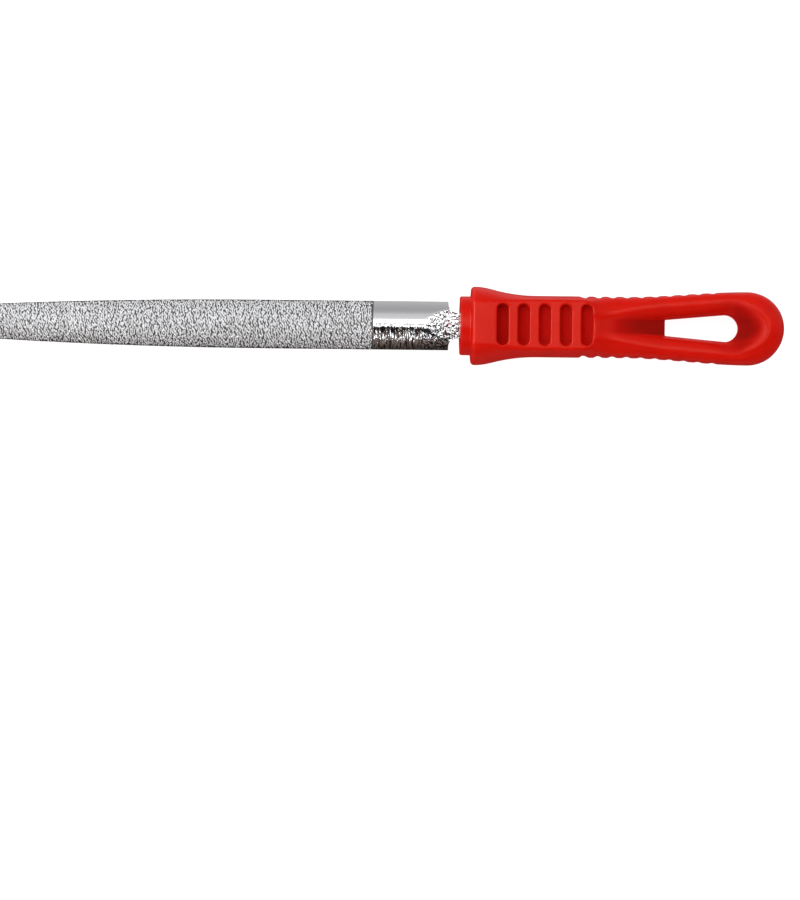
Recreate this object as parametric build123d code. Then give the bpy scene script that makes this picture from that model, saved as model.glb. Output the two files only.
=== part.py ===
"""Half-round hand file with a moulded plastic handle.

Two pieces: a steel blade, whose point, cut body, bare heel and tang are one forging, and a plastic handle
that is driven onto the tang. Millimetres. The file lies along X with its point at -X, the rounded side of
the blade faces +Z, and the origin is at the centre of the bottom of the bounding box.

The shapes are built about the file's own axis, where X = 0 is the shoulder that the blade's length is
measured from and Z = 0 is the middle of the handle. to_frame() then moves them into the part's frame.
"""

import math
import os

from build123d import *

# Blade: distances along it are measured from the shoulder towards the point.
blade_length = 200.0
blade_width = 19.5  # across the bare heel
blade_thickness = 6.0  # from the flat side to the crown, at the heel
heel_length = 30.0  # bare steel between the shoulder and the first tooth
cut_rise = 0.15  # the cut sides stand this far above the bare heel
parallel_length = 73.0  # the sides run parallel as far as this
width_taper = 3.7  # lost from each side by the point
point_length = 22.0  # the last stretch, which closes in faster
point_taper = 1.7  # lost from each side over that stretch, on top of width_taper
thickness_taper = 3.1  # lost from the crown by the point
nose_radius = 6.0  # rounds the end of the point in plan

# Tang
tang_length = 58.0
tang_width = 9.8  # where it leaves the shoulder fillets
tang_end_width = 3.4
tang_thickness = 3.8  # at the shoulder, where its underside is flush with the flat side
tang_end_thickness = 2.6
tang_relief = 0.1  # its rounded upper edges lie this far inside the line of the crown
shoulder_fillet = 3.6
cheek_length = 9.0  # where the crown slopes down to the tang

# Handle: distances along it are measured from its front, the mouth of the collar.
handle_gap = 4.4  # between the blade's shoulder and the collar
handle_length = 129.8
collar_width = 23.6
collar_thickness = 20.4
collar_length = 4.4
collar_fillet = 0.8
flare_width = 31.4
flare_thickness = 24.4
flare_top_length = 5.4  # its crest lies this far behind its front
flare_corner = 1.6  # rounds its front corner
flare_crest = 0.3  # how much rounding takes off its crest
waist_width = 24.6
waist_thickness = 20.0
waist_start = 30.8
waist_end = 66.0
loop_width = 29.4  # across the hanging loop
loop_thickness = 19.6
front_flat_width = 17.6  # flat of the broad sides at the flare
waist_flat_width = 19.6
loop_flat_width = 7.0
flat_fade_start = 48.0  # the broad flats narrow from here
flat_fade_end = 62.0

# Tang socket
socket_end_gap = 3.0

# Grip pockets, on both broad sides
pocket_count = 5
pocket_pitch = 8.33
pocket_width = 4.5
pocket_length = 16.3
pocket_depth = 3.2
pocket_first = 16.75  # from the handle's front to the first pocket's middle

# Thumb scoops and the hanging hole
hole_length = 29.2
hole_end_wall = 18.5  # from the hole's round end to the end of the handle
hole_start_width = 6.4
hole_end_radius = 5.35
web_thickness = 2.0  # where the two scoops meet at the edge of the hole
scoop_length = 28.0  # from the top of the ramp to the hole
scoop_start_width = 5.2
scoop_draft = 24.0  # degrees that its walls lean outwards
bowl_reach = 12.2  # the bowl runs this far past the hole's end, at its widest
bowl_width = 20.0
bowl_height = 14.0  # from the web up to its widest

# Grip notches, along both narrow sides
notch_count = 10
notch_pitch = 5.7
notch_first = 49.8
notch_radius = 1.5
notch_first_depth = 0.9
notch_last_depth = 0.25

# Sections that each loft passes through
blade_steps = 8
flare_steps = 12
grip_steps = 24

clear = 1.0  # how far cutting shapes run past what they cut
blade_drop = tang_thickness / 2  # the flat side lies this far under the file's axis
handle_end = handle_gap + handle_length
loop_centre = handle_length - loop_width / 2
hole_end = handle_length - hole_end_wall
hole_start = hole_end - hole_length
half_height = flare_thickness / 2


def to_frame(solid):
    """Moves a solid from the file's axis to the part's frame."""
    return Pos((blade_length - handle_end) / 2, 0, half_height) * solid


# ---- blade ----


def share(distance, start, end):
    """How far distance is from start towards end, never below 0."""
    return max(0.0, (distance - start) / (end - start))


def smooth_step(distance, start, end):
    """0 before start, 1 after end, and an S-curve between them."""
    t = min(1.0, share(distance, start, end))
    return t * t * (3 - 2 * t)


def stations(start, end, steps):
    """Evenly spaced distances from start to end."""
    return [start + (end - start) * n / steps for n in range(steps + 1)]


def half_width(distance):
    """Half the blade's width that far from the shoulder."""
    body = width_taper * share(distance, parallel_length, blade_length) ** 2
    point = point_taper * share(distance, blade_length - point_length, blade_length) ** 2
    return blade_width / 2 - body - point


def crown_height(distance):
    """Height of the crown over the flat side, that far from the shoulder."""
    return blade_thickness - thickness_taper * share(distance, parallel_length, blade_length) ** 2


def blade_section(distance, rise):
    """Half-round section, rise proud of the bare steel all round. Its foot lies below the flat side."""
    half, crown = half_width(distance) + rise, crown_height(distance) + rise
    radius = (half**2 + crown**2) / (2 * crown)
    foot = clear + rise
    foot_half = math.sqrt(radius**2 - (radius - crown - foot) ** 2)
    arc = ThreePointArc((-foot_half, -foot), (0, crown), (foot_half, -foot))
    face = make_face(arc + Line((foot_half, -foot), (-foot_half, -foot)))
    return Plane.YZ.offset(-distance) * Pos(0, -blade_drop) * face


def straight_stretch(start, end, rise):
    """The blade between two distances where its section stays the same."""
    return extrude(blade_section(start, rise), amount=-(end - start), dir=(1, 0, 0))


def cut_body():
    """The toothed part of the blade, from the heel to the point."""
    distances = stations(parallel_length, blade_length, blade_steps)
    taper = loft([blade_section(distance, cut_rise) for distance in distances])
    return straight_stretch(heel_length, parallel_length, cut_rise) + taper


def nose_waste():
    """What is cut away outside the rounded nose."""
    depth = 4 * blade_thickness
    block = Pos(-blade_length, 0, 0) * Box(2 * nose_radius, 2 * blade_width, depth)
    return block - Pos(nose_radius - blade_length, 0, 0) * Cylinder(nose_radius, depth)


def under_side():
    """Everything below the blade's flat sides: the cut one stands cut_rise lower than the bare one."""
    size = (2 * blade_length, 2 * blade_width, 4 * blade_thickness)
    bare = Box(*size, align=(Align.MIN, Align.CENTER, Align.MAX))
    cut = Box(*size, align=(Align.MAX, Align.CENTER, Align.MAX))
    return Pos(-heel_length, 0, -blade_drop) * bare + Pos(-heel_length, 0, -blade_drop - cut_rise) * cut


def cheek_waste():
    """The wedge above the crown's slope down to the tang."""
    top = blade_thickness - blade_drop
    slope = (top - tang_thickness / 2) / cheek_length
    end = top - slope * (cheek_length + clear)
    corners = [(-cheek_length, top), (clear, end), (clear, top + clear), (-cheek_length, top + clear)]
    return extrude(Plane.XZ * make_face(Polyline(*corners, close=True)), amount=blade_width, both=True)


def tang_plan():
    """Outline of the tang from above, with the fillets into the shoulder."""
    half, end_half = tang_width / 2, tang_end_width / 2
    wide = half + shoulder_fillet
    corner = shoulder_fillet * math.sqrt(0.5)
    middle = (shoulder_fillet - corner, wide - corner)
    side = ThreePointArc((0, wide), middle, (shoulder_fillet, half))
    side += Line((shoulder_fillet, half), (tang_length, end_half))
    ends = Line((tang_length, end_half), (tang_length, -end_half)) + Line((0, -wide), (0, wide))
    return make_face(side + mirror(side, about=Plane.XZ) + ends)


def tang_side():
    """Outline of the tang from the side."""
    start, end = tang_thickness / 2, tang_end_thickness / 2
    corners = [(0, start), (tang_length, end), (tang_length, -end), (0, -start)]
    return make_face(Polyline(*corners, close=True))


def tang():
    """The tang. Its upper edges follow the crown where it leaves the blade."""
    plan = extrude(tang_plan(), amount=blade_thickness, both=True)
    side = extrude(Plane.XZ * tang_side(), amount=blade_width, both=True)
    return plan & side & straight_stretch(-tang_length, 0, -tang_relief)


def blade():
    """The forging, trimmed to its flat side, its nose and the slope behind its shoulder."""
    heel = straight_stretch(0, heel_length + clear, 0) - cheek_waste()
    body = heel + cut_body() - nose_waste() - under_side()
    return body + tang()


# ---- handle ----


def ease(u, first, last, start, end):
    """A size that is first before start, last after end, and changes smoothly between them."""
    return first + (last - first) * smooth_step(u, start, end)


def flare_half_width(u):
    """Half the flare's width: its side is an arc that runs into the waist, and its crest is rounded."""
    drop = (flare_width - waist_width) / 2
    radius = ((waist_start - collar_length - flare_top_length) ** 2 + drop**2) / (2 * drop)
    side = waist_width / 2 + radius - math.sqrt(radius**2 - (waist_start - u) ** 2)
    blend = max(0.0, 1 - abs(side - flare_width / 2) / (4 * flare_crest))
    return min(side, flare_width / 2) - flare_crest * blend**2


def handle_half_width(u):
    """Half the handle's width that far from its front."""
    if u < waist_start:
        return flare_half_width(u)
    return ease(u, waist_width, loop_width, waist_end, loop_centre) / 2


def handle_half_thickness(u):
    """Half the handle's thickness that far from its front. The flare swells with its width."""
    if u < waist_start:
        swell = (flare_half_width(u) - waist_width / 2) / (flare_width - waist_width)
        return waist_thickness / 2 + swell * (flare_thickness - waist_thickness)
    return ease(u, waist_thickness, loop_thickness, waist_end, loop_centre) / 2


def handle_half_flat(u):
    """Half the width of the flat on the handle's broad sides."""
    if u < waist_start:
        return ease(u, front_flat_width, waist_flat_width, collar_length, waist_start) / 2
    return ease(u, waist_flat_width, loop_flat_width, flat_fade_start, flat_fade_end) / 2


def handle_section(u):
    """Two flats joined by two bulging sides."""
    half, top, flat = handle_half_width(u), handle_half_thickness(u), handle_half_flat(u)
    outline = (
        Line((-flat, top), (flat, top))
        + ThreePointArc((flat, top), (half, 0), (flat, -top))
        + Line((flat, -top), (-flat, -top))
        + ThreePointArc((-flat, -top), (-half, 0), (-flat, top))
    )
    return Plane.YZ.offset(u) * make_face(outline)


def flare():
    """The handle from the collar to the waist, with its front corner rounded."""
    body = loft([handle_section(u) for u in stations(collar_length, waist_start, flare_steps)])
    return fillet(body.edges().group_by(Axis.X)[0], flare_corner)


def grip():
    """The handle from the waist to the middle of the loop's round end."""
    return loft([handle_section(u) for u in stations(waist_start, loop_centre, grip_steps)])


def loop_end():
    """The half turn that closes the hanging loop: the last section, swept round the loop's centre."""
    half, top, flat = loop_width / 2, loop_thickness / 2, loop_flat_width / 2
    outline = (
        Line((0, top), (flat, top))
        + ThreePointArc((flat, top), (half, 0), (flat, -top))
        + Line((flat, -top), (0, -top))
        + Line((0, -top), (0, top))
    )
    turned = revolve(Plane.YZ * make_face(outline), axis=Axis.Z, revolution_arc=-180)
    return Pos(loop_centre, 0, 0) * turned


def collar():
    """The oval nose that the tang goes into."""
    face = Plane.YZ * Ellipse(collar_width / 2, collar_thickness / 2)
    solid = extrude(face, amount=collar_length + clear, dir=(1, 0, 0))
    return fillet(solid.edges().group_by(Axis.X)[0], collar_fillet)


def pocket_cuts():
    """The rows of grip pockets in the two broad sides."""
    slot = Rot(0, 0, 90) * SlotOverall(pocket_length, pocket_width)
    floor = waist_thickness / 2 - pocket_depth
    cuts = []
    for n in range(pocket_count):
        cut = Pos(pocket_first + n * pocket_pitch, 0, floor) * extrude(slot, amount=flare_thickness)
        cuts += [cut, mirror(cut, about=Plane.XY)]
    return cuts


def round_end_point(angle):
    """A point on the hole's round end."""
    centre = hole_end - hole_end_radius
    return centre + hole_end_radius * math.cos(angle), hole_end_radius * math.sin(angle)


def hole_outline():
    """One side of the hole in plan: its straight wall, which runs into the quarter of its round end."""
    half, length = hole_start_width / 2, hole_end - hole_end_radius - hole_start
    lean = math.asin(hole_end_radius / math.hypot(length, half)) - math.atan2(half, length)
    touch, middle = round_end_point(math.pi / 2 + lean), round_end_point(math.pi / 4 + lean / 2)
    return Line((hole_start, half), touch) + ThreePointArc(touch, middle, (hole_end, 0))


def hole_plan():
    """The hole's whole outline, filled."""
    side = hole_outline()
    edge = Line((hole_start, -hole_start_width / 2), (hole_start, hole_start_width / 2))
    return make_face(side + mirror(side, about=Plane.XZ) + edge)


def hole():
    """The hanging hole: a wedge with a round end."""
    return extrude(hole_plan(), amount=loop_thickness, both=True)


def ramp():
    """The slope that falls from the broad side to the edge of the hole, between leaning walls."""
    fall = waist_thickness / 2 - web_thickness / 2
    edge = (hole_start, 0, web_thickness / 2)
    slope = Plane(origin=edge, x_dir=(scoop_length, 0, -fall), z_dir=(fall, 0, scoop_length))
    near, far, length = scoop_start_width / 2, hole_start_width / 2, math.hypot(scoop_length, fall)
    corners = [(-length, near), (clear, far), (clear, -far), (-length, -near)]
    floor = make_face(Polyline(*corners, close=True))
    return extrude(slope * floor, amount=waist_thickness, taper=-scoop_draft)


def bowl():
    """The hollow behind the hole, where a finger or a hook goes in."""
    rise = bowl_height + web_thickness / 2
    ball = scale(Sphere(1), by=(hole_end_radius + bowl_reach, bowl_width / 2, bowl_height))
    return Pos(hole_end - hole_end_radius, 0, rise) * ball


def scoop():
    """The hollow in one broad side: the ramp, the leaning walls of the hole and the bowl."""
    rim = Pos(0, 0, web_thickness / 2) * extrude(hole_plan(), amount=waist_thickness, taper=-scoop_draft)
    return ramp() + rim + bowl()


def notch_depth(n):
    """How deep a notch is: the first is the deepest, and they soon fade."""
    left = 1 - n / max(1, notch_count - 1)
    return notch_last_depth + (notch_first_depth - notch_last_depth) * left**3


def notch_cuts():
    """The grip notches across the two narrow sides."""
    cuts = []
    for n in range(notch_count):
        u = notch_first + n * notch_pitch
        off = handle_half_width(u) + notch_radius - notch_depth(n)
        cut = Pos(u, off, 0) * Cylinder(notch_radius, 2 * waist_thickness)
        cuts += [cut, mirror(cut, about=Plane.XZ)]
    return cuts


def socket():
    """The tang's own space, which it is driven into, and the gap past its end."""
    space = Pos(-handle_gap, 0, 0) * tang()
    end = Box(2 * socket_end_gap, tang_end_width, tang_end_thickness)
    return space + Pos(tang_length - handle_gap, 0, 0) * end


def handle():
    """The moulding, with the pockets, notches, hole, scoops and socket cut from it."""
    body = flare() + grip() + loop_end() + collar()
    scoops = [scoop(), mirror(scoop(), about=Plane.XY)]
    for cut in [*pocket_cuts(), *notch_cuts(), hole(), *scoops, socket()]:
        body = body - cut
    return Pos(handle_gap, 0, 0) * body


os.makedirs("parts", exist_ok=True)
for node, solid in {"blade": blade(), "handle": handle()}.items():
    export_step(to_frame(solid), f"parts/{node}.step")
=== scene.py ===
"""A half-round file with a moulded plastic handle: the looks of its forging, its teeth and its moulding."""

import itertools
import math

import bpy
import numpy as np
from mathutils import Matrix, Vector, noise


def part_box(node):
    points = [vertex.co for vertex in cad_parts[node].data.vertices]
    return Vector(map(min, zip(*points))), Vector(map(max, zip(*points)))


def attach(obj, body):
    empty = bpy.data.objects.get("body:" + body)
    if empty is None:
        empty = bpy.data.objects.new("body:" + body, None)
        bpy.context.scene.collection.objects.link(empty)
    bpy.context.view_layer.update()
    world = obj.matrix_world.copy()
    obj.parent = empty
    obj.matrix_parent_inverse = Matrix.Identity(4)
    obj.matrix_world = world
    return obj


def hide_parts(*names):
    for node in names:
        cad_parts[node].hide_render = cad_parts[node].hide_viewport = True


bl_info = {
    "name": "Half-round file",
    "version": (1, 0, 0),
    "blender": (4, 5, 0),
    "location": "3D View > Sidebar > File",
    "description": "Makes a half-round hand file: its forged blade, its cut teeth and its moulded handle",
    "category": "Add Mesh",
}

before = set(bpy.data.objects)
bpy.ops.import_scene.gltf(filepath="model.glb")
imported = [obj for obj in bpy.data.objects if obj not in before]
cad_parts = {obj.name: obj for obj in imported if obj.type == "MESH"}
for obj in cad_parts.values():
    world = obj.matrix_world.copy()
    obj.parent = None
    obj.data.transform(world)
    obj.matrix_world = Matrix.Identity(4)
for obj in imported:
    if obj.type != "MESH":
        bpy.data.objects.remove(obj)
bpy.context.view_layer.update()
BLADE_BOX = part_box("blade")
HANDLE_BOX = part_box("handle")
BODY = "root"
MM = 0.001
TINY = 1e-9


# ---- sizes and colours that a user would change ----


def length(name, millimetres, description):
    """A length property, given in millimetres."""
    return bpy.props.FloatProperty(
        name=name, description=description, default=millimetres * MM, min=0.0, unit="LENGTH", precision=5
    )


def angle(name, degrees, description):
    """An angle property, given in degrees."""
    return bpy.props.FloatProperty(
        name=name, description=description, default=math.radians(degrees), unit="ROTATION"
    )


def share_of(name, value, description):
    """A share from 0 to 1."""
    return bpy.props.FloatProperty(
        name=name, description=description, default=value, min=0.0, max=1.0, subtype="FACTOR"
    )


def wattage(name, watts, description):
    """A light's power, given in watts."""
    return bpy.props.FloatProperty(
        name=name, description=description, default=watts, min=0.0, unit="POWER"
    )


def linear(text):
    """An sRGB hex colour as linear red, green, blue and alpha."""
    channels = [int(text[n:n + 2], 16) / 255 for n in (1, 3, 5)]
    return (*[c / 12.92 if c <= 0.04045 else ((c + 0.055) / 1.055) ** 2.4 for c in channels], 1.0)


def colour(name, text, description):
    """A colour property, given as an sRGB hex value."""
    return bpy.props.FloatVectorProperty(
        name=name, description=description, default=linear(text), size=4, min=0.0, max=1.0, subtype="COLOR"
    )


class HandleSizes(bpy.types.PropertyGroup):
    """Sizes of the moulded handle. Distances along it are measured from the mouth of its collar."""

    total_length: length("Length", 129.8, "From the collar's mouth to the end of the hanging loop")
    collar_width: length("Collar width", 23.6, "Across the oval nose that the tang goes into")
    collar_thickness: length("Collar thickness", 20.4, "Through the oval nose")
    collar_length: length("Collar length", 4.4, "How far the nose stands out of the flare")
    collar_fillet: length("Collar rounding", 0.8, "Rounds the nose's front edge")
    collar_root: length("Collar root", 0.5, "Fills the corner between the nose and the flare")
    flare_width: length("Flare width", 31.4, "Widest place, in front of the fingers")
    flare_thickness: length("Flare thickness", 24.4, "Thickness at the flare")
    flare_top: length("Flare crest", 5.4, "The crest lies this far behind the flare's front")
    flare_corner: length("Flare corner", 1.6, "Rounds the flare's front edge")
    flare_crest: length("Crest rounding", 0.3, "How much rounding takes off the flare's crest")
    waist_width: length("Waist width", 24.6, "Narrowest width, beside the grip pockets")
    waist_thickness: length("Waist thickness", 20.0, "Thickness beside the grip pockets")
    waist_start: length("Waist start", 30.8, "Where the flare has run out")
    waist_end: length("Waist end", 66.0, "Where the handle begins to widen to the loop")
    loop_width: length("Loop width", 29.4, "Across the hanging loop")
    loop_thickness: length("Loop thickness", 19.6, "Through the hanging loop")
    front_flat: length("Front flat", 17.6, "Width of the broad sides' flat at the flare")
    waist_flat: length("Waist flat", 19.6, "Width of the broad sides' flat at the waist")
    loop_flat: length("Loop flat", 7.0, "Width of the broad sides' flat at the loop")
    flat_fade_start: length("Flat fade start", 48.0, "The flats narrow from here")
    flat_fade_end: length("Flat fade end", 62.0, "The flats are at their narrowest from here")
    flat_edge: length("Flat edge", 0.9, "Rounds the flats' long edges")
    loop_edge: length("Loop edge", 7.0, "Rounds the flats' edges at the loop")
    pocket_pitch: length("Pocket pitch", 8.33, "From one grip pocket to the next")
    pocket_width: length("Pocket width", 4.5, "Along the handle")
    pocket_length: length("Pocket length", 16.3, "Across the handle")
    pocket_depth: length("Pocket depth", 3.2, "Below the waist's flat")
    pocket_first: length("First pocket", 16.75, "From the handle's front to the first pocket's middle")
    pocket_rim: length("Pocket rim", 0.6, "Rounds the pockets' rims")
    pocket_root: length("Pocket root", 0.7, "Fills the corners round the pockets' floors")
    pocket_draft: angle("Pocket draft", 3.0, "How far the pockets' walls lean out, to leave the mould")
    hole_length: length("Hole length", 29.2, "Along the handle")
    hole_end_wall: length("Hole end wall", 18.5, "From the hole's round end to the end of the handle")
    hole_start_width: length("Hole front width", 6.4, "Across the hole's narrow front")
    hole_end_radius: length("Hole end radius", 5.35, "Of the hole's round end")
    hole_edge: length("Hole edge", 0.4, "Rounds the web's edge round the hole")
    web_thickness: length("Web thickness", 2.0, "Where the two scoops meet at the edge of the hole")
    scoop_length: length("Scoop length", 28.0, "From the top of the ramp to the hole")
    scoop_width: length("Scoop width", 5.2, "Across the ramp where it starts")
    scoop_draft: angle("Scoop draft", 24.0, "How far the scoop's walls lean out")
    scoop_root: length("Scoop root", 0.9, "Fills the corners along the ramp's floor")
    arm_edge: length("Arm edge", 6.5, "Rounds the two arms beside the hole")
    ramp_edge: length("Ramp edge", 3.0, "Rounds the edges where the ramp starts")
    # Painted shade: over this width the ramp's darker painted colour gives way to the arms'.
    arm_blend: length("Arm blend", 2.5, "Over which the ramp's deep colour gives way to the arms'")
    bowl_reach: length("Bowl reach", 12.2, "The bowl runs this far past the hole's end, at its widest")
    bowl_width: length("Bowl width", 20.0, "Across the bowl behind the hole")
    bowl_height: length("Bowl height", 14.0, "From the web up to the bowl's widest")
    bowl_edge: length("Bowl edge", 2.0, "Rounds the bowl's rim")
    notch_pitch: length("Notch pitch", 5.7, "From one grip notch to the next")
    notch_first: length("First notch", 49.8, "From the handle's front to the first grip notch")
    notch_radius: length("Notch radius", 1.5, "Of the round grip notches")
    notch_depth: length("First notch depth", 0.9, "Of the notch nearest the flare")
    notch_last_depth: length("Last notch depth", 0.25, "Of the notch nearest the loop")
    notch_rim: length("Notch rim", 0.8, "Rounds the humps between the notches")
    seam_height: length("Seam height", 0.12, "The mould's parting line stands out this far")
    seam_width: length("Seam width", 0.3, "Half the width of the parting line")
    mesh_step: length("Mesh step", 0.4, "Size of the mesh's cells")
    pockets: bpy.props.IntProperty(name="Pockets", description="In each broad side", default=5, min=0)
    notches: bpy.props.IntProperty(name="Notches", description="In each narrow side", default=10, min=0)
    # Painted shade: the two shares and the two shade colours below paint the red darker in the hollows,
    # where shade falls.
    arm_painted_shade: share_of("Arm shade", 0.3, "How deep the arms' colour is beside the hole, next to the ramp's")
    pocket_painted_shade: share_of("Pocket shade", 0.5, "How deep the pockets' colour is, next to the ramp's")
    red: colour("Red", "#CA1005", "Colour of the plastic")
    painted_hollow_shade: colour("Shade", "#B20300", "Colour of the plastic in its hollows")
    core: colour("Core", "#8E0200", "Colour of the plastic in its deepest hollows")


class BladeSizes(bpy.types.PropertyGroup):
    """Sizes of the forging. Distances along it are measured from its shoulder towards its point."""

    total_length: length("Length", 200.0, "From the shoulder to the point")
    width: length("Width", 19.5, "Across the bare heel")
    thickness: length("Thickness", 6.0, "From the flat side to the crown, at the heel")
    heel: length("Heel", 30.0, "Bare steel between the shoulder and the first tooth")
    cut_rise: length("Cut rise", 0.15, "Mean height of the teeth over the bare steel")
    parallel: length("Parallel length", 73.0, "The sides run parallel as far as this")
    width_taper: length("Width taper", 3.7, "Lost from each side by the point")
    point_length: length("Point length", 22.0, "The last stretch, which closes in faster")
    point_taper: length("Point taper", 1.7, "Lost from each side over that stretch")
    thickness_taper: length("Thickness taper", 3.1, "Lost from the crown by the point")
    nose_radius: length("Nose radius", 6.0, "Rounds the end of the point")
    cut_depth: length("Cut depth", 0.15, "The roots of the teeth lie this far under the bare steel")
    groove_depth: length("Groove depth", 0.35, "Of the chisel's first line, where the teeth start")
    groove_width: length("Groove width", 0.3, "Of the chisel's first line")
    edge: length("Edge", 0.22, "Height of the blunt edge between the flat and the round side")
    tang_length: length("Tang length", 58.0, "From the shoulder to the tang's end")
    tang_width: length("Tang width", 9.8, "Where it leaves the shoulder's fillets")
    tang_end_width: length("Tang end width", 3.4, "Across the tang's end")
    tang_thickness: length("Tang thickness", 3.8, "Through the tang at the shoulder")
    tang_end_thickness: length("Tang end thickness", 2.6, "Through the tang's end")
    fillet: length("Shoulder fillet", 3.6, "Between the shoulder and the tang")
    cheek: length("Cheek", 9.0, "The crown slopes down to the tang over this length")
    cheek_blend: length("Cheek blend", 0.35, "Softens the line where the slope leaves the crown")
    corner_fade: length("Corner fade", 3.0, "Where the ground part runs out into the forged corner")
    hammer_depth: length("Hammer marks", 0.07, "Depth of the dents in the forged slope")
    gap: length("Gap", 4.4, "Between the shoulder and the handle's collar")
    steel: colour("Steel", "#CDCDCF", "Colour of bare steel")
    # Painted reflection: dark brown streaks on the near flank only, where the ground steel mirrors the dark
    # room.
    near_flank_painted_dark: colour("Scorch", "#4A403B", "Colour of the scorched streaks")
    # Painted shade between the teeth, together with their oil.
    gullet_painted_shade: colour("Gullet", "#646363", "Colour between the teeth")


class TeethSizes(bpy.types.PropertyGroup):
    """Sizes of the double cut on both sides of the blade, drawn coarser than a real one so that it shows."""

    overcut: angle("Overcut", 45.0, "Angle of the finer cut to the blade's length")
    upcut: angle("Upcut", 70.0, "Angle of the coarser cut, the other way")
    overcut_pitch: length("Overcut pitch", 0.9, "From one chisel line of the overcut to the next")
    upcut_pitch: length("Upcut pitch", 0.79, "From one chisel line of the upcut to the next")
    height: length("Height", 0.42, "From a tooth's root to its crest")
    stroke: length("Stroke", 0.64, "A tooth's size along the blade")
    reach: length("Reach", 1.5, "A tooth's size across the blade")
    root: length("Root", 0.16, "How far the roots lie under the bare steel")
    strip: length("Strip", 4.0, "Width of the strips in which the chisel goes round the crown")
    margin: length("Margin", 0.3, "Bare steel along the edges")
    tip_margin: length("Point margin", 1.3, "Bare steel at the point")
    wander: share_of("Wander", 0.4, "How far a tooth may stray, as a share of the pitch")
    uneven: share_of("Unevenness", 0.4, "How much a tooth's height may differ")
    tilt: angle("Tilt", 17.0, "How far a tooth may lean off its seat")
    turn: bpy.props.FloatProperty(
        name="Turn", description="How far teeth stand off square to the blade", default=0.1, unit="ROTATION"
    )
    lean: bpy.props.FloatProperty(
        name="Lean", description="How far crests lie behind their roots, in half strokes", default=-0.35
    )
    dull: colour("Dull", "#E2E2E4", "Colour of the teeth's duller patches")
    bright: colour("Bright", "#F8F8FA", "Colour of the teeth's brighter patches")
    seed: bpy.props.IntProperty(name="Seed", description="Of the teeth's unevenness", default=7)


class StageSettings(bpy.types.PropertyGroup):
    """Floor, lights and camera."""

    floor_size: length("Floor", 6000.0, "Side of the square floor")
    camera_x: length("Camera X", 14.1, "Along the file, from the middle of its length")
    camera_y: bpy.props.FloatProperty(
        name="Camera Y", description="Across the file, from its axis", default=-0.04995, unit="LENGTH"
    )
    camera_height: length("Camera height", 670.0, "Above the file's axis")
    camera_roll: angle("Camera roll", 0.63, "Turns the camera about its own axis")
    focal_length: bpy.props.FloatProperty(
        name="Focal length", description="Of the camera's lens", default=67.0, unit="CAMERA"
    )
    light_height: length("Light height", 1150.0, "Of the overhead lights above the floor")
    key_width: length("Key light width", 1750.0, "Along the file")
    key_depth: length("Key light depth", 310.0, "Across the file")
    key_power: wattage("Key light power", 3.2, "Of the large soft light overhead")
    gloss_power: wattage("Gloss light power", 5.0, "Of the light that adds to the key light in gloss only")
    edge_width: length("Edge light width", 1400.0, "Along the file")
    edge_depth: length("Edge light depth", 220.0, "Across the file, next to the key light")
    edge_power: wattage("Edge light power", 3.2, "Of the bright strip beside the key light")
    side_size: length("Side light size", 350.0, "Side of the square light beyond the blade's point")
    side_power: wattage("Side light power", 2.8, "Of the light beyond the blade's point")
    glint_width: length("Glint light width", 1100.0, "Of the light that only shows in the handle's gloss")
    glint_height: length("Glint light height", 600.0, "Of the light that only shows in the handle's gloss")
    glint_power: wattage("Glint light power", 30.0, "Of the light that only shows in the handle's gloss")
    low_width: length("Low light width", 700.0, "Of the light on the near side, over the blade")
    low_depth: length("Low light depth", 560.0, "Of the light on the near side")
    low_power: wattage("Low light power", 4.2, "Of the light on the near side")


# ---- shaping ----


def share(x, start, end):
    """How far x is from start to end, from 0 to 1."""
    return np.clip((x - start) / (end - start), 0.0, 1.0)


def ease(x, first, last, start, end):
    """A size that is first before start, last after end, and changes smoothly between them."""
    t = share(x, start, end)
    return first + (last - first) * t * t * (3 - 2 * t)


def round_and(a, b, radius):
    """Distance to what two shapes have in common, with the edge between them rounded."""
    corner = np.hypot(np.maximum(a + radius, 0), np.maximum(b + radius, 0))
    return np.minimum(np.maximum(a, b), -radius) + corner


def round_or(a, b, radius):
    """Distance to two shapes together, with the corner between them filled."""
    corner = np.hypot(np.maximum(radius - a, 0), np.maximum(radius - b, 0))
    return np.maximum(np.minimum(a, b), radius) - corner


def flare_half_width(s, u):
    """Half the flare's width: its side is an arc that runs into the waist, and its crest is rounded."""
    drop = (s.flare_width - s.waist_width) / 2
    radius = ((s.waist_start - s.collar_length - s.flare_top) ** 2 + drop**2) / (2 * drop)
    side = s.waist_width / 2 + radius - np.sqrt(radius**2 - np.maximum(s.waist_start - u, 0) ** 2)
    blend = np.maximum(0.0, 1 - np.abs(side - s.flare_width / 2) / (4 * s.flare_crest))
    return np.minimum(side, s.flare_width / 2) - s.flare_crest * blend**2


def handle_half_width(s, u):
    """Half the handle's width that far from its front."""
    grip = ease(u, s.waist_width, s.loop_width, s.waist_end, s.total_length - s.loop_width / 2) / 2
    return np.where(u < s.waist_start, flare_half_width(s, u), grip)


def handle_half_thickness(s, u):
    """Half the handle's thickness that far from its front. The flare swells with its width."""
    swell = (flare_half_width(s, u) - s.waist_width / 2) / (s.flare_width - s.waist_width)
    flare = s.waist_thickness / 2 + swell * (s.flare_thickness - s.waist_thickness)
    loop_centre = s.total_length - s.loop_width / 2
    grip = ease(u, s.waist_thickness, s.loop_thickness, s.waist_end, loop_centre) / 2
    return np.where(u < s.waist_start, flare, grip)


def handle_half_flat(s, u):
    """Half the width of the flat on the handle's broad sides."""
    front = ease(u, s.front_flat, s.waist_flat, s.collar_length, s.waist_start) / 2
    back = ease(u, s.waist_flat, s.loop_flat, s.flat_fade_start, s.flat_fade_end) / 2
    return np.where(u < s.waist_start, front, back)


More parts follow.
